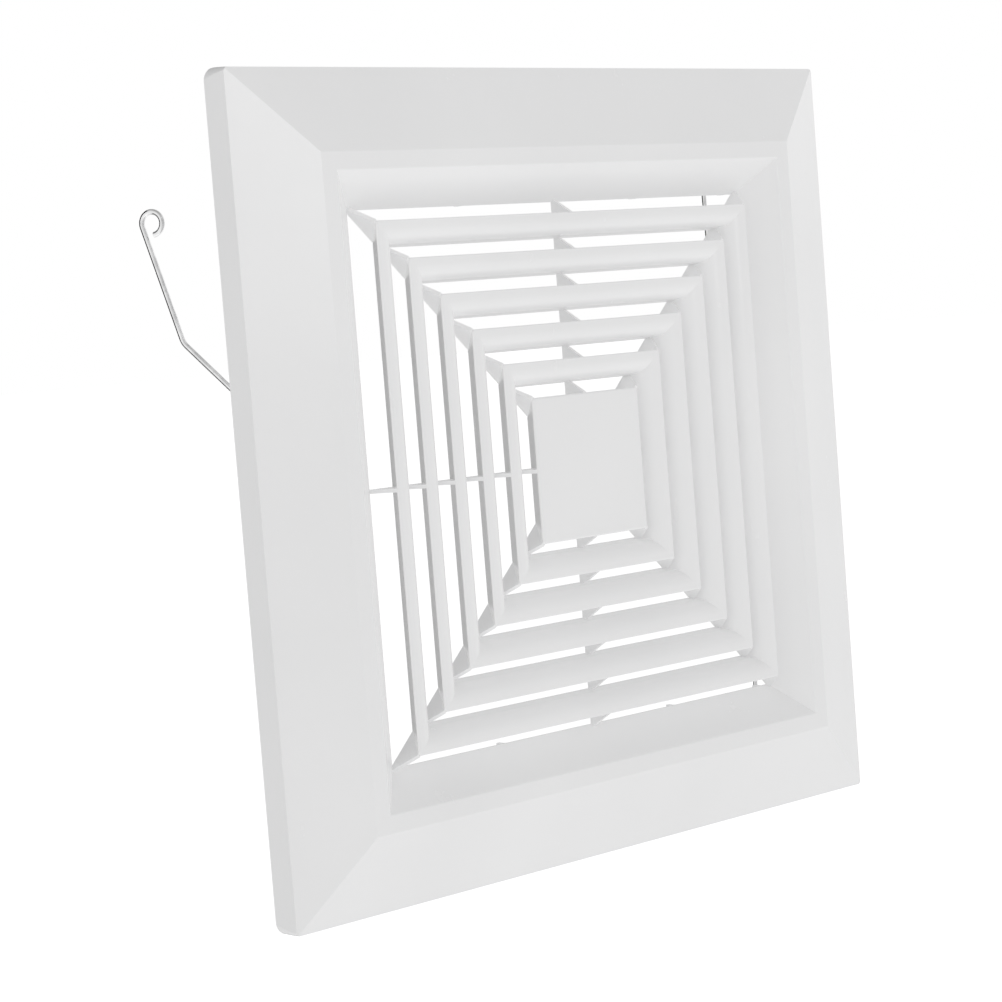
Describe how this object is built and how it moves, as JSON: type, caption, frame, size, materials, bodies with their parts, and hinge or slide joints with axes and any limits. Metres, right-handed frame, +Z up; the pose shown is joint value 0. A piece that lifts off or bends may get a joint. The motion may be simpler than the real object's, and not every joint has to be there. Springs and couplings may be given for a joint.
{
  "type": "ceiling air diffuser",
  "caption": "Square bevelled ceiling air diffuser: concentric flared louver rings round a centre plate, on thin ribs, held up from behind by wire torsion springs.",
  "frame": {"origin": "centre of the plane of the rim's rear edge, which lies against the ceiling", "axes": "+Z up the face as it is pictured standing, X across the face, -Y out of the face into the room and +Y into the ceiling; in use the part is turned so that -Y points down"},
  "size_m": [0.3, 0.0816, 0.3],
  "materials": {
    "white_plastic": "semi-gloss injection moulded",
    "spring_wire": "bright zinc plated spring wire",
    "washer_steel": "satin",
    "screw_steel": "zinc plated"
  },
  "bodies": {
    "panel": {"face_frame": "white_plastic", "louver_ring_1": "white_plastic", "louver_ring_2": "white_plastic", "louver_ring_3": "white_plastic", "louver_ring_4": "white_plastic", "louver_ring_5": "white_plastic", "centre_plate": "white_plastic", "rib_top": "white_plastic", "rib_bottom": "white_plastic", "rib_left": "white_plastic", "rib_right": "white_plastic", "rib_top_left": "white_plastic", "rib_top_right": "white_plastic", "rib_bottom_left": "white_plastic", "rib_bottom_right": "white_plastic", "left_spring_bracket": "white_plastic", "left_push_on_washer": "washer_steel", "left_bracket_screws": "screw_steel", "right_spring_bracket": "white_plastic", "right_push_on_washer": "washer_steel", "right_bracket_screws": "screw_steel"},
    "left_spring": {"left_spring_coil": "spring_wire"},
    "left_upper_leg": {"left_spring_upper_leg": "spring_wire"},
    "left_lower_leg": {"left_spring_lower_leg": "spring_wire"},
    "right_spring": {"right_spring_coil": "spring_wire"},
    "right_upper_leg": {"right_spring_upper_leg": "spring_wire"},
    "right_lower_leg": {"right_spring_lower_leg": "spring_wire"}
  },
  "joints": [
    {"name": "left_spring_swivel", "type": "hinge", "parent": "panel", "child": "left_spring", "pos_m": [-0.1153, -0.00156, 0], "axis": [0.9063, 0.4226, 0], "range_deg": [-5, 32]},
    {"name": "left_upper_leg_flex", "type": "hinge", "parent": "left_spring", "child": "left_upper_leg", "pos_m": [-0.1153, -0.00156, 0], "axis": [0.9063, 0.4226, 0], "range_deg": [-38, 0], "stiffness_Nm_per_rad": 2},
    {"name": "left_lower_leg_flex", "type": "hinge", "parent": "left_spring", "child": "left_lower_leg", "pos_m": [-0.1153, -0.00156, 0], "axis": [0.9063, 0.4226, 0], "range_deg": [0, 38], "stiffness_Nm_per_rad": 2},
    {"name": "right_spring_swivel", "type": "hinge", "parent": "panel", "child": "right_spring", "pos_m": [0.1153, -0.00156, 0], "axis": [0.9063, -0.4226, 0], "range_deg": [-18.7, 18.2]},
    {"name": "right_upper_leg_flex", "type": "hinge", "parent": "right_spring", "child": "right_upper_leg", "pos_m": [0.1153, -0.00156, 0], "axis": [0.9063, -0.4226, 0], "range_deg": [-38, 0], "stiffness_Nm_per_rad": 2},
    {"name": "right_lower_leg_flex", "type": "hinge", "parent": "right_spring", "child": "right_lower_leg", "pos_m": [0.1153, -0.00156, 0], "axis": [0.9063, -0.4226, 0], "range_deg": [0, 38], "stiffness_Nm_per_rad": 2}
  ],
  "couplings": [
    {"joint": "left_lower_leg_flex", "follows": "left_upper_leg_flex", "ratio": -1},
    {"joint": "right_lower_leg_flex", "follows": "right_upper_leg_flex", "ratio": -1}
  ]
}
